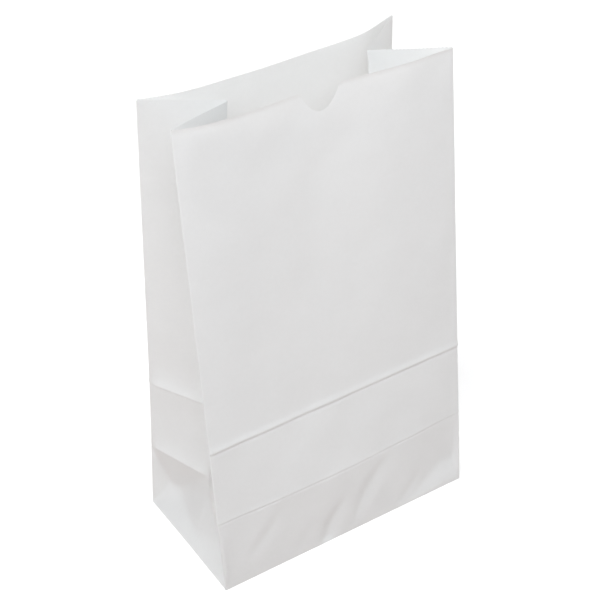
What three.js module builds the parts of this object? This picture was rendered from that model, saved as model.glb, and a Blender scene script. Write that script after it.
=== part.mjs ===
// Open flat-bottomed paper bag, folded from one sheet: a front and a back panel, a V-folded
// gusset at each side, a square-cornered bottom, and a thumb notch cut in the front edge.
// Millimetres, +Z up. Origin at the middle of the bottom, the notched front panel faces -Y.
import * as THREE from 'three';

// ---- driving dimensions -------------------------------------------------------------------
const WIDTH = 254;          // front and back panels
const DEPTH = 133.35;       // bottom, front to back
const HEIGHT = 432;         // along the paper, bottom fold to top edge
const PAPER = 0.15;         // sheet thickness
const FOLD = 1.2;           // width of a pressed fold
const CREASE_LOW = 73.6;    // height of the lower flat-packing crease, along the paper
const CREASE_HIGH = 148;    // height of the upper one
const NOTCH_HALF = 18.3;    // half width of the thumb notch
const NOTCH_DEPTH = 20;
const NOTCH_U = 0.503;      // its middle, as a share of the front panel's width
const NOTCH_SPREAD = 64;    // paper below the top edge that is meshed around the notch
const TOOTH_PITCH = 3;      // the top edge is cut by a toothed blade
const TOOTH_DEPTH = 0.9;
const HEM = 2.5;            // plain paper kept below the teeth
const GUSSET_DENT = 8.5;    // how far the foot of a gusset is pushed in
const GUSSET_HOLLOW = 1.4;  // how far the gusset is drawn in between the two packing creases
const LAP_AT = 0.34;        // left edge of the glued lap on the back panel, as a share of its width
const LAP_WIDTH = 20;
const LAP_STEP = 0.3;       // run of the step at the lap's edges

// ---- where the folds stand ----------------------------------------------------------------
// Each level is a height along the paper. At each one: the four outer folds (front left, front
// right, back right, back left) and the centre fold of the right and of the left gusset.
const v3 = (x, y, z) => new THREE.Vector3(x, y, z);
const LIFT = FOLD / 2;
const LEVELS = [
  {
    at: 0,
    FL: v3(-WIDTH / 2, -DEPTH / 2, LIFT), FR: v3(WIDTH / 2, -DEPTH / 2, LIFT),
    BR: v3(WIDTH / 2, DEPTH / 2, LIFT), BL: v3(-WIDTH / 2, DEPTH / 2, LIFT),
    GR: v3(WIDTH / 2, 0, LIFT), GL: v3(-WIDTH / 2, 0, LIFT),
  },
  {
    at: CREASE_LOW,
    FL: v3(-128.6, -62.3, 73.3), FR: v3(128.4, -58.4, 73.3),
    BR: v3(128.4, 60.2, 73.0), BL: v3(-124.9, 61.4, 73.3),
    GR: v3(98.6, 0.4, 68.8), GL: v3(-101.7, -0.6, 69.1),
  },
  {
    at: CREASE_HIGH,
    FL: v3(-128.3, -56.1, 147.7), FR: v3(127.4, -52.2, 147.5),
    BR: v3(127.8, 54.6, 147.0), BL: v3(-123.0, 56.6, 147.3),
    GR: v3(88.8, 1.8, 142.9), GL: v3(-90.2, -1.4, 142.6),
  },
  {
    at: HEIGHT,
    FL: v3(-124.0, -23.4, 430.7), FR: v3(123.1, -30.9, 430.4),
    BR: v3(121.2, 46.6, 429.0), BL: v3(-121.9, 32.6, 430.3),
    GR: v3(68.7, 7.3, 427.6), GL: v3(-62.9, 1.5, 425.4),
  },
];

// ---- how far the panels bow between their folds (share of the width, mm towards -Y) -------
const curve = (...pts) => new THREE.SplineCurve(pts.map(([x, y]) => new THREE.Vector2(x, y)));
const FRONT_TOP = curve([0, 0], [0.06, 3.6], [0.16, 6.2], [0.28, 4.6], [0.45, 0.6], [0.6, 0.4], [0.8, 2.6], [0.93, 1.2], [1, 0]);
const BACK_TOP = curve([0, 0], [0.07, 5.6], [0.17, 11.2], [0.33, 13.6], [0.55, 15.2], [0.75, 14.4], [0.87, 10.8], [0.95, 4.6], [1, 0]);
const FRONT_LOW = curve([0, 0], [0.2, 2.4], [0.5, 4.0], [0.75, 2.2], [1, 0]);
function bow(spline, u) {
  const pts = spline.points;
  let i = 0;
  while (i < pts.length - 2 && pts[i + 1].x <= u) i++;
  let a = 0, b = 1;                                    // the spline's own parameter at this width
  for (let k = 0; k < 40; k++) {
    const m = (a + b) / 2;
    if (spline.getPoint((i + m) / (pts.length - 1)).x < u) a = m; else b = m;
  }
  return spline.getPoint((i + a) / (pts.length - 1)).y;
}

// ---- the twelve fold lines of a level: every fold is a narrow strip between two lines ------
function split(before, at, after) {
  const t = at.clone().sub(before).normalize().add(after.clone().sub(at).normalize()).normalize();
  return [at.clone().addScaledVector(t, -FOLD / 2), at.clone().addScaledVector(t, FOLD / 2)];
}
const RINGS = LEVELS.map((l) => {
  const [FRf, FRg] = split(l.FL, l.FR, l.GR);
  const [GRa, GRb] = split(l.FR, l.GR, l.BR);
  const [BRg, BRb] = split(l.GR, l.BR, l.BL);
  const [BLb, BLg] = split(l.BR, l.BL, l.GL);
  const [GLb, GLa] = split(l.BL, l.GL, l.FL);
  const [FLg, FLf] = split(l.GL, l.FL, l.FR);
  return { at: l.at, lines: [FLf, FRf, FRg, GRa, GRb, BRg, BRb, BLb, BLg, GLb, GLa, FLg] };
});
const STRIPS = ['front', 'fold', 'gussetIn', 'fold', 'gussetOut', 'fold', 'back', 'fold', 'gussetIn', 'fold', 'gussetOut', 'fold'];

const lerp = (a, b, t) => a.clone().lerp(b, t);
function line(i, v) {                                   // fold line i at height v along the paper
  let k = 0;
  while (k < RINGS.length - 2 && RINGS[k + 1].at <= v) k++;
  const t = (v - RINGS[k].at) / (RINGS[k + 1].at - RINGS[k].at);
  return lerp(RINGS[k].lines[i], RINGS[k + 1].lines[i], t);
}
// how far a gusset stands off its flat facets, s from its outer to its centre fold
const ease = THREE.MathUtils.smoothstep;
function gussetPush(s, v) {
  if (v <= CREASE_LOW) {
    const t = v / CREASE_LOW;
    return -GUSSET_DENT * Math.max(0, Math.min(s / 0.2, t / 0.38, 0.45 + 0.887 * (1 - s), (1 - t) / 0.62));
  }
  if (v < CREASE_HIGH) {
    const t = (v - CREASE_LOW) / (CREASE_HIGH - CREASE_LOW);
    return -GUSSET_HOLLOW * 4 * t * (1 - t) * ease(s, 0, 0.2) * (1 - ease(s, 0.8, 1));
  }
  return 0;
}
// a point of strip i, at share a of its width and height v along the paper
function onSheet(i, a, v) {
  const p = onFacet(i, a, v);
  const s = { gussetIn: a, gussetOut: 1 - a, fold: i % 6 === 3 ? 1 : 0 }[STRIPS[i]] ?? 0;
  if (s > 0) {
    const along = line((i + 1) % 12, v).sub(line(i, v));
    p.addScaledVector(v3(along.y, -along.x, 0).normalize(), gussetPush(s, v));
  }
  return p;
}
function onFacet(i, a, v) {
  const j = (i + 1) % 12;
  const kind = STRIPS[i];
  if (kind.startsWith('gusset') && v < CREASE_LOW) {
    // below the lower crease the gusset turns about a diagonal from the bottom corner to the
    // foot of its centre fold
    const corner = kind === 'gussetIn' ? i : j;
    const centre = kind === 'gussetIn' ? j : i;
    const s = kind === 'gussetIn' ? a : 1 - a;
    const t = v / CREASE_LOW;
    const low = RINGS[0].lines, high = RINGS[1].lines;
    const p = low[corner].clone();
    if (s <= t) {
      return p.addScaledVector(high[corner].clone().sub(low[corner]), t - s)
        .addScaledVector(high[centre].clone().sub(low[corner]), s);
    }
    return p.addScaledVector(low[centre].clone().sub(low[corner]), s - t)
      .addScaledVector(high[centre].clone().sub(low[corner]), t);
  }
  const p = lerp(line(i, v), line(j, v), a);
  const rise = THREE.MathUtils.clamp((v - CREASE_HIGH) / (HEIGHT - CREASE_HIGH), 0, 1);
  if (kind === 'front') {
    const low = v < CREASE_LOW ? v / CREASE_LOW : THREE.MathUtils.clamp((CREASE_HIGH - v) / (CREASE_HIGH - CREASE_LOW), 0, 1);
    p.y -= bow(FRONT_TOP, a) * rise ** 1.5 + bow(FRONT_LOW, a) * low;
  }
  if (kind === 'back') p.y -= bow(BACK_TOP, 1 - a) * rise;
  return p;
}
function notch(u) {                                     // depth of the cut below the top edge
  const x = (u - NOTCH_U) * WIDTH / NOTCH_HALF;
  return Math.abs(x) < 1 ? NOTCH_DEPTH * Math.pow(1 - x * x, 0.85) : 0;
}

// ---- columns around the bag and rows up it ------------------------------------------------
const GUSSET = [0, 1 / 6, 2 / 6, 3 / 6, 4 / 6, 5 / 6, 1];
const ROUND = [1, 0.985, 0.94, 0.85, 0.7, 0.5, 0.25, 0];
const FRONT = [0, 0.06, 0.13, 0.2, 0.28, 0.36,
  ...ROUND.map((x) => NOTCH_U - x * NOTCH_HALF / WIDTH), ...ROUND.slice(0, -1).reverse().map((x) => NOTCH_U + x * NOTCH_HALF / WIDTH),
  0.65, 0.73, 0.8, 0.87, 0.94, 1];
const lapA = 1 - LAP_AT - LAP_WIDTH / WIDTH, lapB = 1 - LAP_AT, lapStep = LAP_STEP / WIDTH;
const BACK = [0, 0.04, 0.09, 0.15, 0.25, 0.35, 0.45, lapA - lapStep, lapA, lapB, lapB + lapStep, 0.75, 0.84, 0.9, 0.95, 1];
const columns = [];
STRIPS.forEach((kind, i) => {
  const shares = { front: FRONT, back: BACK, fold: [0, 1] }[kind] ?? GUSSET;
  shares.slice(0, -1).forEach((a) => columns.push({
    strip: i, a, kind,
    lap: kind === 'back' && a > lapA - lapStep / 2 && a < lapB + lapStep / 2,
  }));
});
const rows = [
  ...GUSSET.map((s) => s * CREASE_LOW),
  (CREASE_LOW + CREASE_HIGH) / 2, CREASE_HIGH,
  CREASE_HIGH + 75, CREASE_HIGH + 150, HEIGHT - NOTCH_SPREAD, HEIGHT - NOTCH_SPREAD / 2, HEIGHT - 2 * HEM,
];

// ---- the middle of the sheet's outer face, row by row from the bottom's rim ----------------
const nC = columns.length;
const sheet = [];
{
  const foot = columns.map((c) => {                     // the flat bottom starts inside the fold
    const p = onSheet(c.strip, c.a, 0);
    return v3(p.x * (WIDTH / 2 - LIFT) / (WIDTH / 2), p.y * (DEPTH / 2 - LIFT) / (DEPTH / 2), 0);
  });
  sheet.push(foot);
  for (const v of rows) {
    sheet.push(columns.map((c) => {
      let h = v;
      const start = HEIGHT - NOTCH_SPREAD;
      if (c.kind === 'front' && v > start) h = start + (v - start) * (1 - notch(c.a) / (NOTCH_SPREAD - 2 * HEM));
      return onSheet(c.strip, c.a, h);
    }));
  }
}
const nR = sheet.length;
const id = (r, c) => r * nC + (c % nC);
const wall = [];                                        // triangles, outer face outwards
for (let r = 0; r < nR - 1; r++) {
  for (let c = 0; c < nC; c++) {
    const a = id(r, c), b = id(r, c + 1), d = id(r + 1, c + 1), e = id(r + 1, c);
    const other = columns[c].kind === 'gussetOut' || (columns[c].kind !== 'gussetIn' && (r + c) % 2);
    if (other) wall.push([a, b, e], [b, d, e]); else wall.push([a, b, d], [a, d, e]);
  }
}
// ---- the toothed top edge and a hem below it, finer than the columns, sewn to the top row -----
const edge = [];                                        // {strip, a, v}
const teeth = (strip, from, to, length) => {
  const n = Math.max(1, Math.round((to - from) * length / TOOTH_PITCH));
  for (let k = 0; k < 2 * n; k++) {
    edge.push({ strip, a: from + (to - from) * k / (2 * n), v: HEIGHT - (k % 2 ? 0 : TOOTH_DEPTH) });
  }
};
STRIPS.forEach((kind, i) => {
  if (kind === 'fold') edge.push({ strip: i, a: 0, v: HEIGHT - TOOTH_DEPTH });
  else if (kind === 'front') {
    const r = NOTCH_HALF / WIDTH;
    teeth(i, 0, NOTCH_U - r, WIDTH);
    FRONT.filter((u) => Math.abs(u - NOTCH_U) < r + 1e-9 && u < NOTCH_U + r - 1e-9)
      .forEach((u) => edge.push({ strip: i, a: u, v: HEIGHT - Math.max(notch(u), TOOTH_DEPTH) }));
    teeth(i, NOTCH_U + r, 1, WIDTH);
  } else teeth(i, 0, 1, kind === 'back' ? WIDTH : DEPTH / 2);
});
const place = (e) => e.strip + e.a;
function between(e, v) {                                // on the flat between the two columns beside e
  let c = 0;
  while (c + 1 < nC && place(columns[c + 1]) <= place(e) + 1e-9) c++;
  const from = columns[c], to = columns[(c + 1) % nC];
  const t = (place(e) - place(from)) / ((c + 1 < nC ? place(to) : 12) - place(from));
  return lerp(onSheet(from.strip, from.a, v), onSheet(to.strip, to.a, v), t);
}
const hem = edge.map((e) => between(e, HEIGHT - HEM - (STRIPS[e.strip] === 'front' ? notch(e.a) : 0)));
const rim = edge.map((e) => between(e, e.v));
const top = nR - 1, nE = edge.length, firstHem = nR * nC, firstRim = firstHem + nE;
{
  let c = 0, k = 0;
  while (c < nC || k < nE) {
    const nextC = c + 1 < nC ? place(columns[c + 1]) : 12, nextK = k + 1 < nE ? place(edge[k + 1]) : 12;
    const low = id(top, c), high = firstHem + (k % nE);
    if (k >= nE || (c < nC && nextC <= nextK)) { wall.push([low, id(top, c + 1), high]); c++; }
    else { wall.push([low, firstHem + ((k + 1) % nE), high]); k++; }
  }
}
for (let k = 0; k < nE; k++) {
  const j = (k + 1) % nE;
  wall.push([firstHem + k, firstHem + j, firstRim + k], [firstHem + j, firstRim + j, firstRim + k]);
}
const middle = firstRim + nE;                           // the flat bottom, fanned out from its middle
const floor = columns.map((_, c) => [id(0, c + 1), id(0, c), middle]);

// ---- give the sheet its thickness and close it at the top edge -----------------------------
const flat = [...sheet.flat(), ...hem, ...rim, v3(0, 0, 0)];
const normals = flat.map(() => []);
for (const [a, b, c] of [...wall, ...floor]) {
  const n = flat[b].clone().sub(flat[a]).cross(flat[c].clone().sub(flat[a]));
  const size = n.length();
  if (size < 1e-9) continue;
  n.divideScalar(size);
  for (const [at, p, q] of [[a, b, c], [b, c, a], [c, a, b]]) {
    const corner = flat[p].clone().sub(flat[at]).angleTo(flat[q].clone().sub(flat[at]));
    normals[at].push({ n, corner });
  }
}
const out = normals.map((list) => {
  const mean = v3(0, 0, 0);
  list.forEach(({ n, corner }) => mean.addScaledVector(n, corner));
  mean.normalize();
  let share = 0, sum = 0;
  list.forEach(({ n, corner }) => { share += n.dot(mean) * corner; sum += corner; });
  return mean.divideScalar(Math.max(share / sum, 0.35));
});
const outer = flat.map((p, i) => {
  const r = Math.floor(i / nC);
  const e = i >= firstHem ? edge[(i - firstHem) % nE] : null;
  const lap = e ? STRIPS[e.strip] === 'back' && e.a > lapA - lapStep / 2 && e.a < lapB + lapStep / 2 : columns[i % nC].lap;
  return lap && r > 1 ? p.clone().addScaledVector(out[i], PAPER) : p.clone();
});
const inner = flat.map((p, i) => p.clone().addScaledVector(out[i], -PAPER));
const half = flat.length;
const faces = [...wall, ...floor];
const index = [];
for (const [a, b, c] of faces) index.push(a, b, c);
for (const [a, b, c] of faces) index.push(half + a, half + c, half + b);
for (let k = 0; k < nE; k++) {
  const a = firstRim + k, b = firstRim + (k + 1) % nE;
  index.push(a, b, half + b, a, half + b, half + a);
}
const geometry = new THREE.BufferGeometry();
geometry.setAttribute('position', new THREE.Float32BufferAttribute([...outer, ...inner].flatMap((p) => [p.x, p.y, p.z]), 3));
geometry.setIndex(index);
geometry.computeVertexNormals();

const paper = new THREE.MeshStandardMaterial({ name: 'paper', color: 0xe3e2df, roughness: 0.86, metalness: 0 });
const bag = new THREE.Mesh(geometry, paper);
bag.name = 'paper_bag';

const group = new THREE.Group();
group.name = 'open_paper_bag';
group.add(bag);

export default group;
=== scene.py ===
import math

import bpy
import numpy as np
from mathutils import Matrix, Vector


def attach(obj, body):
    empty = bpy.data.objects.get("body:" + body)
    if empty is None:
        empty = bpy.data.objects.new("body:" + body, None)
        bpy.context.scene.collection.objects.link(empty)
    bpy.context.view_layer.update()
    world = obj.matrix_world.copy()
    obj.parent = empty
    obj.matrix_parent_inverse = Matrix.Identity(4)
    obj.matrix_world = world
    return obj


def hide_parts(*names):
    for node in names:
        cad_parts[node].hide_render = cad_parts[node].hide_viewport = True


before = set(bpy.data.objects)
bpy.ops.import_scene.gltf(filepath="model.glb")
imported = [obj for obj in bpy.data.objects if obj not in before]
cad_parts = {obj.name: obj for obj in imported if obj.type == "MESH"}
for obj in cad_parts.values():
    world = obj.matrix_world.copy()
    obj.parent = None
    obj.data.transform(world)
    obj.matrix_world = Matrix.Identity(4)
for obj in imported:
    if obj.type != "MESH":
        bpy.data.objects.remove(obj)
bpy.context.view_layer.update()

scene = bpy.context.scene
MM = 0.001

# ------------------------------------------------------------------------------------------
# The sheet: the same folds as the solid, in millimetres, +Z up, the notched front faces -Y.
# ------------------------------------------------------------------------------------------
W, D, H = 254.0, 133.35, 432.0
PAPER = 0.15
FOLD = 1.2
LOW, HIGH = 73.6, 148.0            # flat-packing creases, as heights along the paper
LIFT = FOLD / 2
NOTCH_HALF, NOTCH_DEPTH, NOTCH_U, NOTCH_SPREAD = 18.3, 20.0, 0.503, 64.0
TOOTH_PITCH, TOOTH_DEPTH, HEM = 3.0, 0.9, 2.5
GUSSET_DENT, GUSSET_HOLLOW = 8.5, 1.4
LAP_AT, LAP_WIDTH, LAP_STEP = 0.34, 20.0, 0.5
BEND = 2.2                         # half the run of paper over which a crease turns

LEVELS = [
    dict(at=0.0, FL=(-W / 2, -D / 2, LIFT), FR=(W / 2, -D / 2, LIFT), BR=(W / 2, D / 2, LIFT), BL=(-W / 2, D / 2, LIFT),
         GR=(W / 2, 0, LIFT), GL=(-W / 2, 0, LIFT)),
    dict(at=LOW, FL=(-128.6, -62.3, 73.3), FR=(128.4, -58.4, 73.3), BR=(128.4, 60.2, 73.0), BL=(-124.9, 61.4, 73.3),
         GR=(98.6, 0.4, 68.8), GL=(-101.7, -0.6, 69.1)),
    dict(at=HIGH, FL=(-128.3, -56.1, 147.7), FR=(127.4, -52.2, 147.5), BR=(127.8, 54.6, 147.0), BL=(-123.0, 56.6, 147.3),
         GR=(88.8, 1.8, 142.9), GL=(-90.2, -1.4, 142.6)),
    dict(at=H, FL=(-124.0, -23.4, 430.7), FR=(123.1, -30.9, 430.4), BR=(121.2, 46.6, 429.0), BL=(-121.9, 32.6, 430.3),
         GR=(68.7, 7.3, 427.6), GL=(-62.9, 1.5, 425.4)),
]
STRIPS = ["front", "fold", "gusset_in", "fold", "gusset_out", "fold", "back", "fold", "gusset_in", "fold", "gusset_out", "fold"]
half = D / 2
LENGTH = {"front": W, "back": W, "fold": FOLD, "gusset_in": half, "gusset_out": half}
START = np.concatenate([[0], np.cumsum([LENGTH[k] for k in STRIPS])])     # place of each strip along the sheet


def unit(v):
    return v / np.maximum(np.linalg.norm(v, axis=-1, keepdims=True), 1e-12)


def split(before, at, after):
    t = unit(unit(at - before) + unit(after - at))
    return [at - t * FOLD / 2, at + t * FOLD / 2]


def ring(level):
    p = {k: np.array(v, float) for k, v in level.items() if k != "at"}
    FRf, FRg = split(p["FL"], p["FR"], p["GR"])
    GRa, GRb = split(p["FR"], p["GR"], p["BR"])
    BRg, BRb = split(p["GR"], p["BR"], p["BL"])
    BLb, BLg = split(p["BR"], p["BL"], p["GL"])
    GLb, GLa = split(p["BL"], p["GL"], p["FL"])
    FLg, FLf = split(p["GL"], p["FL"], p["FR"])
    return np.array([FLf, FRf, FRg, GRa, GRb, BRg, BRb, BLb, BLg, GLb, GLa, FLg])


LINES = np.array([ring(l) for l in LEVELS])          # level, fold line, xyz
AT = np.array([l["at"] for l in LEVELS])


def ramp(x, e):
    """max(x, 0) with its corner rounded over e to either side."""
    return np.where(x <= -e, 0.0, np.where(x >= e, x, (x + e) ** 2 / (4 * e)))


def ease(x, a, b):
    t = np.clip((x - a) / (b - a), 0, 1)
    return t * t * (3 - 2 * t)


def through(points):
    """A smooth curve through points, as a function."""
    x, y = np.array(sorted(points), float).T
    m = np.zeros_like(y)
    d = np.diff(y) / np.diff(x)
    m[1:-1] = (d[:-1] * np.diff(x)[1:] + d[1:] * np.diff(x)[:-1]) / (x[2:] - x[:-2])
    m[0], m[-1] = d[0], d[-1]

    def f(u):
        u = np.clip(u, x[0], x[-1])
        i = np.clip(np.searchsorted(x, u, side="right") - 1, 0, len(x) - 2)
        h = x[i + 1] - x[i]
        t = (u - x[i]) / h
        return ((2 * t**3 - 3 * t**2 + 1) * y[i] + (t**3 - 2 * t**2 + t) * h * m[i]
                + (-2 * t**3 + 3 * t**2) * y[i + 1] + (t**3 - t**2) * h * m[i + 1])
    return f


FRONT_TOP = through([(0, 0), (0.06, 3.6), (0.16, 6.2), (0.28, 4.6), (0.45, 0.6), (0.6, 0.4), (0.8, 2.6), (0.93, 1.2), (1, 0)])
BACK_TOP = through([(0, 0), (0.07, 5.6), (0.17, 11.2), (0.33, 13.6), (0.55, 15.2), (0.75, 14.4), (0.87, 10.8), (0.95, 4.6), (1, 0)])
FRONT_LOW = through([(0, 0), (0.2, 2.4), (0.5, 4.0), (0.75, 2.2), (1, 0)])


def bands(v):
    """v split into the lengths of paper in the three bands, with the creases between them rounded."""
    a = LOW - ramp(LOW - v, BEND)
    c = HIGH + ramp(v - HIGH, BEND)
    b = LOW + ramp(v - LOW, BEND) - ramp(v - HIGH, BEND)
    return a, b, c


def line(i, band, v):
    t = ((v - AT[band]) / (AT[band + 1] - AT[band]))[..., None]
    return LINES[band, i] * (1 - t) + LINES[band + 1, i] * t


def panel(i, a, v):
    """Points of strip i, at shares a of its width and heights v along the paper (arrays of one shape)."""
    j = (i + 1) % 12
    kind = STRIPS[i]
    va, vb, vc = bands(v)
    A = a[..., None]

    def flat(band, w):
        return line(i, band, w) * (1 - A) + line(j, band, w) * A

    low_end, high_end = np.full_like(v, LOW), np.full_like(v, HIGH)
    if kind.startswith("gusset"):
        corner, centre = (i, j) if kind == "gusset_in" else (j, i)
        s = a if kind == "gusset_in" else 1 - a
        t = va / LOW
        e = 2.6 / half
        c0, c1, m0, m1 = LINES[0, corner], LINES[1, corner], LINES[0, centre], LINES[1, centre]
        first = (c0 + t[..., None] * (m1 - c0) + ramp(s - t, e)[..., None] * (m0 - c0)
                 + ramp(t - s, e)[..., None] * (c1 - m1))
    else:
        first = flat(0, va)
    p = first + flat(1, vb) - flat(1, low_end) + flat(2, vc) - flat(2, high_end)
    rise = (vc - HIGH) / (H - HIGH)
    if kind == "front":
        low = (va / LOW) * ((HIGH - vb) / (HIGH - LOW))
        p[..., 1] -= FRONT_TOP(a) * rise**1.5 + FRONT_LOW(a) * low
    if kind == "back":
        p[..., 1] -= BACK_TOP(1 - a) * rise
    return p


def fold(i, q, v):
    """The rounded turn of paper in fold strip i, q from 0 to 1 across it."""
    before, after = (i - 1) % 12, (i + 1) % 12
    one = np.ones_like(v)
    length = LENGTH[STRIPS[before]]
    a0, a1 = panel(before, one * (1 - 1.2 / length), v), panel(before, one, v)
    length = LENGTH[STRIPS[after]]
    b0, b1 = panel(after, one * 0, v), panel(after, one * (1.2 / length), v)
    d1, d2 = unit(a1 - a0), unit(b1 - b0)
    turn = np.arccos(np.clip((d1 * d2).sum(-1), -1, 1))
    chord = np.linalg.norm(b0 - a1, axis=-1)
    m = (2 * chord * np.tan(turn / 4) / np.maximum(np.sin(turn / 2), 1e-3))[..., None]
    m = np.maximum(m, chord[..., None])
    q = q[..., None]
    return ((2 * q**3 - 3 * q**2 + 1) * a1 + (q**3 - 2 * q**2 + q) * m * d1
            + (-2 * q**3 + 3 * q**2) * b0 + (q**3 - q**2) * m * d2)


def base_point(i, a, v):
    return fold(i, a, v) if STRIPS[i] == "fold" else panel(i, a, v)


def notch(u):
    x = (u - NOTCH_U) * W / NOTCH_HALF
    return np.where(np.abs(x) < 1, NOTCH_DEPTH * np.maximum(1 - x * x, 0) ** 0.85, 0.0)


# ---- how the paper stands off its flat facets (mm outwards) --------------------------------
# A packing crease on a panel: going down, the paper flares out, drops back in, then recovers.
PANEL_HIGH = through([(-14, 0), (-7, 0.02), (-4.6, 0.02), (-3.5, -0.09), (-2.5, -0.25), (0.3, 0.82), (0.8, 0.92), (1.5, 0.87),
                      (3.0, 0.58), (5.0, 0.23), (6.5, 0.08), (8, 0.03), (16, 0)])
PANEL_LOW = through([(-9, 0), (-4, 0.05), (-1.2, 0.07), (-0.4, 0.02), (0.5, -0.12), (0.9, -0.07), (1.9, 0.32), (2.4, 0.35), (4, 0.22), (6, 0.10), (9, 0.02), (12, 0)])
# The same crease across a gusset stands out as a ridge.
GUSSET_HIGH = through([(-36, 0), (-26, 0.14), (-16, 0.50), (-8, 0.90), (-4, 1.06), (-2.2, 1.14), (-0.2, 1.62), (0.4, 1.68), (1.4, 1.56), (3, 1.32),
                       (5.5, 0.96), (10, 0.50), (16, 0.17), (24, 0)])
GUSSET_LOW = through([(-34, 0), (-26, 0.1), (-14, 0.62), (-5, 1.06), (-2.0, 1.22), (-0.2, 1.62), (0.4, 1.66),  (1.6, 1.42), (4, 0.98), (9, 0.40), (15, 0.10), (22, 0)])
# Soft folds pressed in the lower part of the front, each from its upper to its lower end: mm along
# the panel, mm up it, depth, and how far its slopes reach up to the left and down to the right.
SOFT = [
    [(64, 71, 0.2, 6, 8), (49, 48, 1.3, 8, 13), (37, 36, 1.25, 8, 13), (25, 24, 0.2, 6, 9)],
    [(126, 43, 0.15, 5, 9), (115, 30, 1.7, 8, 13), (108, 17, 2.6, 9, 16), (104, 3, 2.0, 9, 16)],
    [(174, 68, 0.2, 6, 10), (158, 52, 1.8, 10, 15), (147, 36, 2.1, 11, 17), (140, 22, 1.4, 10, 15), (134, 9, 0.4, 8, 11)],
    [(208, 29, 0.15, 4, 8), (198, 18, 1.1, 6, 9), (187, 8, 0.6, 6, 8)],
    [(258, 25, 3.6, 60, 25), (236, 27, 3.8, 58, 26), (222, 18, 2.8, 46, 18), (200, 6, 0.8, 28, 7), (188, 1, 0, 20, 3)],
    [(92, 34, 0.1, 6, 8), (83, 20, 0.4, 7, 10), (75, 8, 0.3, 7, 10)],
]


def soft_fold(x, y, rows):
    rows = np.array(rows, float)
    pts = rows[:, :2]
    best = np.full(x.shape, 1e9)
    signed, depth, left, right = np.zeros(x.shape), np.zeros(x.shape), np.ones(x.shape), np.ones(x.shape)
    for k in range(len(pts) - 1):
        run = np.linalg.norm(pts[k + 1] - pts[k])
        d = (pts[k + 1] - pts[k]) / run
        t = np.clip(((x - pts[k, 0]) * d[0] + (y - pts[k, 1]) * d[1]) / run, 0, 1)
        px, py = x - pts[k, 0] - t * run * d[0], y - pts[k, 1] - t * run * d[1]
        dist = np.hypot(px, py)
        near = dist < best
        best = np.where(near, dist, best)
        signed = np.where(near, np.where(-px * d[1] + py * d[0] > 0, dist, -dist), signed)
        value = rows[k, 2:, None, None] * (1 - t) + rows[k + 1, 2:, None, None] * t if x.ndim == 2 else rows[k, 2:, None] * (1 - t) + rows[k + 1, 2:, None] * t
        depth, left, right = (np.where(near, n, o) for n, o in zip(value, (depth, left, right)))
    reach = np.clip(1 - np.where(signed < 0, -signed / left, signed / right), 0, 1)
    return -depth * reach**1.6 * (2 - reach) ** 0.6


def waves(x, y, seed, count, short, long, lean=None):
    """Smooth seeded undulation, about 1 high. lean: the direction most of its crests run in, in radians."""
    rng = np.random.default_rng(seed)
    total = np.zeros(np.shape(x))
    for _ in range(count):
        wave = math.exp(rng.uniform(math.log(short), math.log(long)))
        turn = rng.uniform(0, math.pi) if lean is None else lean + math.pi / 2 + rng.normal(0, 0.35)
        phase = rng.uniform(0, 2 * math.pi)
        total = total + np.cos(2 * math.pi / wave * (x * math.cos(turn) + y * math.sin(turn)) + phase)
    return total / math.sqrt(count / 2)


def dent(s, v):
    """How far the foot of a gusset is pushed in: flat sides that meet in slightly rounded creases."""
    t = np.clip(v / LOW, 0, 1)
    least = np.stack([s / 0.2, t / 0.38, 0.45 + 0.887 * (1 - s), (1 - t) / 0.62])
    soft = 0.035
    return GUSSET_DENT * np.maximum(-soft * np.log(np.exp(-least / soft).sum(0)), 0)


def stand_off(i, a, v):
    kind = STRIPS[i]
    length = LENGTH[kind]
    x = a * length
    side = np.minimum(x, length - x)                      # mm from the nearest side fold
    panel_crease = PANEL_HIGH(v - HIGH - 0.7) + PANEL_LOW(v - LOW)
    if kind == "fold":
        if i in (3, 9):
            return -dent(np.ones_like(a), v)
        return 0.5 * panel_crease * np.ones_like(a)
    hold = 0.5 + 0.5 * ease(side, 0, 5)
    if kind in ("front", "back"):
        d = panel_crease * hold
        free = ease(side, 0, 16) * ease(v, 2, 26)
        upper = ease(v, HIGH + 4, HIGH + 60)
        if kind == "front":
            d = d + 0.20 * free * waves(x, v, 11, 9, 46, 130, math.radians(52))
            d = d + 0.16 * upper * free * waves(x, v, 12, 7, 90, 200, math.radians(35))
            d = d + 1.0 * np.clip((v - H + HEM) / HEM, 0, 1)            # the cut edge stands proud
            for rows in SOFT:
                d = d + soft_fold(x, v, rows) * np.clip(v / 5.0, 0, 1) * ease(side, 0, 6)
            d = d + 1.5 * np.exp(-x / 4.0) * ease(x, 0, 2.0) * ease(v, 4, 18) * (1 - ease(v, 56, 70))
        else:
            d = d + 0.30 * free * waves(x, v, 21, 10, 50, 140, math.radians(120))
            d = d + 1.2 * PANEL_LOW(v - LOW) * ease(side, 0, 8)
        return d
    s = a if kind == "gusset_in" else 1 - a
    d = -dent(s, v)
    open_ = ease(s, 0, 0.2) * (1 - ease(s, 0.8, 1))
    t = np.clip((v - LOW) / (HIGH - LOW), 0, 1)
    d = d - GUSSET_HOLLOW * 4 * t * (1 - t) * open_
    y = np.maximum(v - HIGH, 0) / 16.0
    d = d - 1.6 * y * np.exp(1 - y) * open_
    inner = ease(x if kind == "gusset_in" else length - x, 0, 6)
    gusset_crease = GUSSET_HIGH(v - HIGH) + GUSSET_LOW(v - LOW)
    centre = ease(half - s * half, 0, 9)
    d = d + (0.5 * panel_crease + (gusset_crease - 0.5 * panel_crease) * inner) * centre
    d = d + 0.16 * ease(side, 0, 12) * ease(v, 2, 24) * waves(x, v, 31 + i, 8, 34, 100, math.radians(80))
    return d


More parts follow.
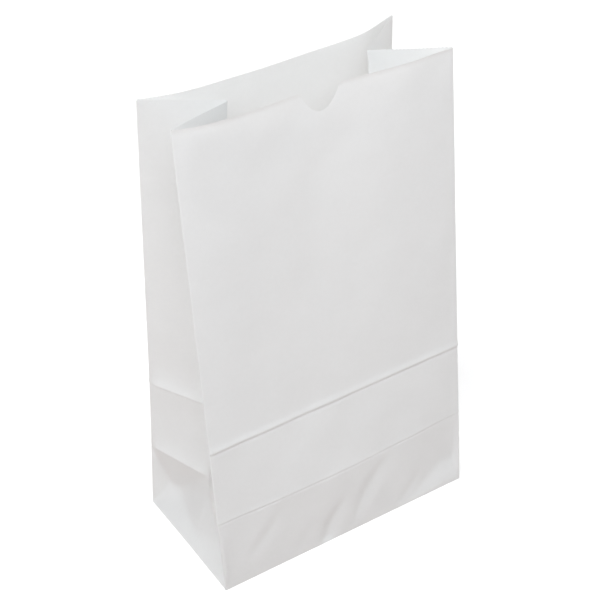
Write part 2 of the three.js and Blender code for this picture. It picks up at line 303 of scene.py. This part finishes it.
# ---- columns and rows ---------------------------------------------------------------------
def spaced(length, step, ends):
    """Shares of a length, close together at both ends."""
    mid = np.linspace(ends[-1], length - ends[-1], max(2, round((length - 2 * ends[-1]) / step) + 1))
    return np.concatenate([[0], ends[:-1], mid, [length - e for e in ends[-2::-1]], [length]]) / length


GUSSET = spaced(half, 3.6, (0.4, 0.9, 1.5, 2.2, 3.2, 4.6, 6.6, 9.2))
front = spaced(W, 3.0, (0.8, 1.7, 2.8, 4.2, 6.2, 8.6))
nh = NOTCH_HALF / W
front = front[np.abs(front - NOTCH_U) > nh * 1.05]
front = np.sort(np.concatenate([front, NOTCH_U + nh * np.cos(np.linspace(0, math.pi, 27))]))
back = spaced(W, 5.6, (0.9, 2.0, 3.5, 5.6, 8.6))
lap_a, lap_b = 1 - LAP_AT - LAP_WIDTH / W, 1 - LAP_AT
edges = np.array([lap_a - LAP_STEP / W, lap_a, lap_b, lap_b + LAP_STEP / W])
back = back[np.abs(back[:, None] - edges[None]).min(1) > 1.2 / W]
back = np.sort(np.concatenate([back, edges]))
SHARES = {"front": front, "back": back, "fold": np.linspace(0, 1, 7), "gusset_in": GUSSET, "gusset_out": 1 - GUSSET[::-1]}

ABOVE = np.array([0.3, 0.7, 1.2, 2.0, 3.0, 4.0, 5.0, 6.2, 8.0, 10.2])
BELOW = np.array([0.35, 0.7, 1.05, 1.4, 1.8, 2.2, 2.7, 3.4, 4.6, 6.8, 9.8])
ROWS = np.concatenate([
    GUSSET * LOW,
    LOW + ABOVE,
    np.linspace(LOW + ABOVE[-1], HIGH - BELOW[-1], 14)[1:-1],
    HIGH - BELOW[::-1], [HIGH], HIGH + ABOVE,
    np.linspace(HIGH + ABOVE[-1], H - 2 * HEM, 53)[1:],
])

col_strip = np.concatenate([np.full(len(SHARES[k]) - 1, i) for i, k in enumerate(STRIPS)])
col_share = np.concatenate([SHARES[k][:-1] for k in STRIPS])
nC, nR = len(col_strip), len(ROWS)


def normals(P):
    dc = np.roll(P, -1, 1) - np.roll(P, 1, 1)
    dr = np.gradient(P, axis=0)
    return unit(np.cross(dc, dr))


P = np.zeros((nR, nC, 3))
SHIFT = np.zeros((nR, nC))
VROW = np.zeros((nR, nC))
for i, kind in enumerate(STRIPS):
    k = np.where(col_strip == i)[0]
    a, v = np.meshgrid(col_share[k], ROWS)
    if kind == "front":
        start = H - NOTCH_SPREAD
        v = np.where(v > start, start + (v - start) * (1 - notch(a) / (NOTCH_SPREAD - 2 * HEM)), v)
    P[:, k] = base_point(i, a, v)
    SHIFT[:, k] = stand_off(i, a, v)
    VROW[:, k] = v
N = normals(P)
P = P + N * SHIFT[..., None]

# ---- the toothed top edge and a hem below it, finer than the columns ------------------------
edge = []                                             # strip, share, height


def teeth(i, a0, a1):
    n = max(1, round((a1 - a0) * LENGTH[STRIPS[i]] / TOOTH_PITCH))
    for k in range(2 * n):
        edge.append((i, a0 + (a1 - a0) * k / (2 * n), H - (0.0 if k % 2 else TOOTH_DEPTH)))


for i, kind in enumerate(STRIPS):
    if kind == "fold":
        edge += [(i, q, H - TOOTH_DEPTH) for q in SHARES["fold"][:-1]]
    elif kind == "front":
        teeth(i, 0, NOTCH_U - nh)
        inside = front[(front > NOTCH_U - nh - 1e-9) & (front < NOTCH_U + nh - 1e-9)]
        edge += [(i, u, H - max(float(notch(u)), TOOTH_DEPTH)) for u in inside]
        teeth(i, NOTCH_U + nh, 1)
    else:
        teeth(i, 0, 1)
nE = len(edge)
col_place = col_strip + col_share
edge_place = np.array([i + a for i, a, _ in edge])
far = np.concatenate([col_place, [12.0]])


def column_at(c, v):
    i, a = col_strip[c], np.array([col_share[c]])
    v = np.array([v])
    return base_point(i, a, v)[0] + N[-1, c] * stand_off(i, a, v)[0]


def between(place, v):
    """A point of the edge, on the flat between the two columns beside it."""
    c = int(np.searchsorted(col_place, place + 1e-9, side="right") - 1)
    t = (place - far[c]) / (far[c + 1] - far[c])
    return column_at(c, v) * (1 - t) + column_at((c + 1) % nC, v) * t


def along_top(row):
    """A row of the grid's top, read at the places of the edge's points."""
    closed = np.concatenate([row, row[:1]])
    return np.stack([np.interp(edge_place, far, closed[:, c]) for c in range(closed.shape[1])], -1)


edge_v = np.array([v for _, _, v in edge])
hem_v = np.array([H - HEM - (float(notch(a)) if STRIPS[i] == "front" else 0.0) for i, a, _ in edge])
E = np.array([between(p, v) for p, v in zip(edge_place, edge_v)])
HEMS = np.array([between(p, v) for p, v in zip(edge_place, hem_v)])

# ---- thickness, bottom fold and bottom ----------------------------------------------------
K = P[0].copy(); K[:, 2] = 0.0                        # where the wall would meet the ground
F = K.copy(); F[:, 0] *= (W / 2 - LIFT) / (W / 2); F[:, 1] *= (D / 2 - LIFT) / (D / 2)
q = np.array([0, 0.25, 0.5, 0.75])[:, None, None]
turn_up = (1 - q) ** 2 * F + 2 * q * (1 - q) * K + q**2 * P[0]
OUT = np.concatenate([turn_up, P])                    # rows from the bottom's rim to the hem
NRM = normals(OUT)
NRM[0] = (0, 0, -1)
edge_n = np.tile(unit(along_top(NRM[-1])), (2, 1))
E = np.concatenate([HEMS, E])
IN, E_IN = OUT - NRM * PAPER, E - edge_n * PAPER
IN[0, :, 2] = PAPER
is_lap = (np.array([STRIPS[i] == "back" for i in col_strip]) & (col_share > lap_a - 1e-9) & (col_share < lap_b + 1e-9))
OUT[5:, is_lap] += NRM[5:, is_lap] * PAPER
edge_lap = np.tile([STRIPS[i] == "back" and lap_a - 1e-9 < a < lap_b + 1e-9 for i, a, _ in edge], 2)
E[edge_lap] += edge_n[edge_lap] * PAPER

nT = len(OUT)
n_grid = nT * nC
n_rim = n_grid + nE
half_n = n_grid + 2 * nE
verts = np.concatenate([OUT.reshape(-1, 3), E, IN.reshape(-1, 3), E_IN]) * MM
faces = []


def both(*f):
    faces.append(f)
    faces.append(tuple(half_n + x for x in reversed(f)))


for r in range(nT - 1):
    v_mid = ROWS[r - 4] if r >= 4 else -1
    for c in range(nC):
        a, b, d, e = r * nC + c, r * nC + (c + 1) % nC, (r + 1) * nC + (c + 1) % nC, (r + 1) * nC + c
        kind = STRIPS[col_strip[c]]
        if kind.startswith("gusset") and 0 <= v_mid < LOW - 1e-6:
            for t in [(a, b, d), (a, d, e)] if kind == "gusset_in" else [(a, b, e), (b, d, e)]:
                both(*t)
        else:
            both(a, b, d, e)
top = (nT - 1) * nC
c = k = 0
while c < nC or k < nE:                               # sew the hem to the top row
    next_c = col_place[c + 1] if c + 1 < nC else 12.0
    next_k = edge_place[k + 1] if k + 1 < nE else 12.0
    low, high = top + c % nC, n_grid + k % nE
    if k >= nE or (c < nC and next_c <= next_k):
        both(low, top + (c + 1) % nC, high)
        c += 1
    else:
        both(low, n_grid + (k + 1) % nE, high)
        k += 1
for k in range(nE):
    j = (k + 1) % nE
    both(n_grid + k, n_grid + j, n_rim + j, n_rim + k)
    faces.append((n_rim + k, n_rim + j, half_n + n_rim + j, half_n + n_rim + k))
faces.append(tuple(range(nC - 1, -1, -1)))
faces.append(tuple(half_n + c for c in range(nC)))

mesh = bpy.data.meshes.new("paper_bag_sheet")
mesh.from_pydata(verts.tolist(), [], faces)
mesh.validate()
mesh.polygons.foreach_set("use_smooth", [True] * len(mesh.polygons))
sharp = mesh.attributes.new("sharp_edge", "BOOLEAN", "EDGE")
rim = set(range(n_rim, half_n)) | set(range(half_n + n_rim, 2 * half_n))
foot = set(range(nC)) | set(range(half_n, half_n + nC))
ev = np.empty(len(mesh.edges) * 2, int)
mesh.edges.foreach_get("vertices", ev)
sharp.data.foreach_set("value", [((a in rim) and (b in rim)) or ((a in foot) and (b in foot)) for a, b in ev.reshape(-1, 2).tolist()])

# the flat sheet's own coordinates, in metres: along it and up it, with the bottom laid out below
along = START[col_strip] + col_share * np.array([LENGTH[STRIPS[i]] for i in col_strip])
up = np.concatenate([np.tile(np.array([-LIFT * 1.5, -LIFT, -LIFT * 0.6, -LIFT * 0.3])[:, None], (1, nC)), VROW])
flat_uv = np.stack([np.tile(along, (nT, 1)), up], -1).reshape(-1, 2)
edge_along = np.array([START[i] + a * LENGTH[STRIPS[i]] for i, a, _ in edge])
edge_uv = np.concatenate([np.stack([edge_along, hem_v], -1), np.stack([edge_along, edge_v], -1)])
vert_uv = np.concatenate([flat_uv, edge_uv, flat_uv, edge_uv])
lv = np.empty(len(mesh.loops), int)
mesh.loops.foreach_get("vertex_index", lv)
starts = np.empty(len(mesh.polygons), int)
totals = np.empty(len(mesh.polygons), int)
mesh.polygons.foreach_get("loop_start", starts)
mesh.polygons.foreach_get("loop_total", totals)
poly = np.repeat(np.arange(len(totals)), totals)
uv = vert_uv[lv]
widest = np.maximum.reduceat(uv[:, 0], starts)[poly]
uv[:, 0] = np.where(widest - uv[:, 0] > START[-1] / 2, uv[:, 0] + START[-1], uv[:, 0])
is_floor = (totals > 20)[poly]
uv[is_floor] = verts[lv[is_floor], :2] / MM + (400, -120)
layer = mesh.uv_layers.new(name="sheet")
layer.data.foreach_set("uv", (uv * MM).ravel())

bag = bpy.data.objects.new("paper_bag_sheet", mesh)
scene.collection.objects.link(bag)

# ------------------------------------------------------------------------------------------
# Paper
# ------------------------------------------------------------------------------------------
def nodes_of(name):
    m = bpy.data.materials.new(name)
    m.use_nodes = True
    t = m.node_tree
    t.nodes.clear()
    out = t.nodes.new("ShaderNodeOutputMaterial")
    p = t.nodes.new("ShaderNodeBsdfPrincipled")
    t.links.new(p.outputs[0], out.inputs[0])
    return m, t, p


paper, tree, bsdf = nodes_of("white_paper")
link = tree.links.new


def node(kind, **values):
    n = tree.nodes.new(kind)
    for k, v in values.items():
        if hasattr(n, k):
            setattr(n, k, v)
        else:
            n.inputs[k.replace("_", " ")].default_value = v
    return n


sheet_uv = node("ShaderNodeUVMap", uv_map="sheet")


def noise(scale, stretch, detail, rough, turn=0.0):
    m = node("ShaderNodeMapping")
    m.inputs["Rotation"].default_value = (0, 0, turn)
    m.inputs["Scale"].default_value = (stretch[0], stretch[1], 1)
    link(sheet_uv.outputs[0], m.inputs["Vector"])
    n = node("ShaderNodeTexNoise", noise_dimensions="2D", Scale=scale, Detail=detail, Roughness=rough)
    link(m.outputs[0], n.inputs["Vector"])
    return n.outputs["Fac"]


def spread(value, low, high, to_low, to_high):
    n = node("ShaderNodeMapRange", From_Min=low, From_Max=high, To_Min=to_low, To_Max=to_high)
    link(value, n.inputs["Value"])
    return n.outputs["Result"]


def plus(a, b, op="ADD"):
    n = node("ShaderNodeMath", operation=op)
    link(a, n.inputs[0])
    link(b, n.inputs[1])
    return n.outputs[0]


def tint(fac, a, b):
    n = node("ShaderNodeMix", data_type="RGBA")
    link(fac, n.inputs["Factor"])
    n.inputs[6].default_value = (*a, 1)
    n.inputs[7].default_value = (*b, 1)
    return n.outputs[2]


cloud = noise(34, (1.0, 1.0), 3, 0.55)                       # broad mottling of the sheet
flock = noise(330, (1.0, 0.8), 5, 0.62)                      # how the pulp gathered when the sheet formed
fibre_a = noise(900, (0.30, 2.6), 3, 0.7, 0.35)              # single fibres, mostly along the machine direction
fibre_b = noise(900, (2.2, 0.30), 3, 0.7, -0.25)
fibre = plus(fibre_a, fibre_b)
look = plus(plus(spread(cloud, 0.3, 0.7, -0.22, 0.22), spread(flock, 0.25, 0.75, -0.30, 0.30)), spread(fibre, 0.7, 1.3, 0.25, 0.75))
colour = tint(look, (0.918, 0.918, 0.914), (0.942, 0.942, 0.939))
link(colour, bsdf.inputs["Base Color"])
link(spread(plus(flock, fibre), 1.1, 1.9, 0.78, 0.93), bsdf.inputs["Roughness"])
bsdf.inputs["Specular IOR Level"].default_value = 0.28
relief = plus(spread(fibre, 0.6, 1.4, 0.0, 0.55), spread(flock, 0.2, 0.8, 0.0, 0.7))
bump = node("ShaderNodeBump", Strength=0.30, Distance=0.00006)
link(relief, bump.inputs["Height"])
link(bump.outputs[0], bsdf.inputs["Normal"])
through_light = node("ShaderNodeBsdfTranslucent")
link(colour, through_light.inputs["Color"])
link(bump.outputs[0], through_light.inputs["Normal"])
mix = node("ShaderNodeMixShader")
mix.inputs[0].default_value = 0.45
link(bsdf.outputs[0], mix.inputs[1])
link(through_light.outputs[0], mix.inputs[2])
output = next(n for n in tree.nodes if n.bl_idname == "ShaderNodeOutputMaterial")
link(mix.outputs[0], output.inputs[0])
mesh.materials.append(paper)

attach(bag, "root")
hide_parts("paper_bag")

# ------------------------------------------------------------------------------------------
# Floor, light, camera
# ------------------------------------------------------------------------------------------
floor_mesh = bpy.data.meshes.new("floor")
floor_mesh.from_pydata([(-6, -6, 0), (6, -6, 0), (6, 6, 0), (-6, 6, 0)], [], [(0, 1, 2, 3)])
floor = bpy.data.objects.new("floor", floor_mesh)
scene.collection.objects.link(floor)
floor_mat, _, fb = nodes_of("floor_white")
fb.inputs["Base Color"].default_value = (0.985, 0.96, 0.95, 1)
fb.inputs["Roughness"].default_value = 0.9
fb.inputs["Emission Color"].default_value = (1, 1, 1, 1)
fb.inputs["Emission Strength"].default_value = 0.2
floor_mesh.materials.append(floor_mat)
floor.visible_diffuse = floor.visible_glossy = floor.visible_transmission = floor.visible_shadow = False

world = bpy.data.worlds.new("studio")
world.use_nodes = True
wt = world.node_tree
way = wt.nodes.new("ShaderNodeTexCoord")
parts = wt.nodes.new("ShaderNodeSeparateXYZ")
halves = wt.nodes.new("ShaderNodeMapRange")
halves.interpolation_type = "SMOOTHSTEP"
halves.inputs["From Min"].default_value, halves.inputs["From Max"].default_value = -0.25, 0.25
room = wt.nodes.new("ShaderNodeMix")
room.data_type = "RGBA"
room.inputs[6].default_value = (0.75, 0.67, 0.645, 1)
room.inputs[7].default_value = (0.15, 0.15, 0.15, 1)
wt.links.new(way.outputs["Generated"], parts.inputs[0])
wt.links.new(parts.outputs["Z"], halves.inputs["Value"])
wt.links.new(halves.outputs["Result"], room.inputs["Factor"])
wt.links.new(room.outputs[2], wt.nodes["Background"].inputs[0])
wt.nodes["Background"].inputs[1].default_value = 1.0
scene.world = world


def area(name, at, aim, size, power, colour=(1, 1, 1)):
    d = bpy.data.lights.new(name, "AREA")
    d.shape = "RECTANGLE"
    d.size, d.size_y = size
    d.energy = power
    d.color = colour
    o = bpy.data.objects.new(name, d)
    scene.collection.objects.link(o)
    o.location = at
    o.rotation_euler = (Vector(aim) - Vector(at)).to_track_quat("-Z", "Y").to_euler()
    o.visible_camera = False
    return o


# soft boxes around the bag: degrees round from the front (left is minus), degrees up, height of the box, power, colour
BOXES = [
    ("front_left", -30, 45, 1.8, 34.0, (0.93, 1.0, 1.05)),
    ("left", -70, 40, 1.8, 44.5, (0.96, 1.0, 1.02)),
    ("above", 0, 75, 1.8, 22.5, (0.97, 1.0, 1.03)),
    ("right", 60, 20, 1.8, 24.0, (0.94, 1.01, 1.04)),
    ("rear", 180, 15, 1.8, 43.6, (1.0, 1.0, 0.99)),
    ("rear_low", 180, 0, 0.8, 22.5, (1.0, 1.0, 0.99)),
    ("rear_right", 120, 2, 0.8, 11.3, (1.0, 1.0, 0.98)),
]
for name, az, el, tall, power, colour in BOXES:
    az, el = math.radians(az), math.radians(el)
    out_way = Vector((math.sin(az) * math.cos(el), -math.cos(az) * math.cos(el), math.sin(el)))
    area(name, out_way * 3.0 + Vector((0, 0, 0.2)), (0, 0, 0.2), (1.8, tall), power, colour)

cam = bpy.data.cameras.new("camera")
cam.sensor_fit = "HORIZONTAL"
cam.sensor_width = 36.0
cam.lens = 86.66
cam_ob = bpy.data.objects.new("camera", cam)
scene.collection.objects.link(cam_ob)
right, up_dir, back_dir = Vector((0.839122, -0.543665, -0.017399)), Vector((0.328152, 0.480458, 0.813312)), Vector((-0.43381, -0.688178, 0.581567))
m = Matrix((right, up_dir, back_dir)).transposed().to_4x4()
m.translation = Vector((-0.53248, -0.83932, 0.92846))
cam_ob.matrix_world = m
scene.camera = cam_ob
scene.view_settings.view_transform = "Standard"
scene.view_settings.look = "None"
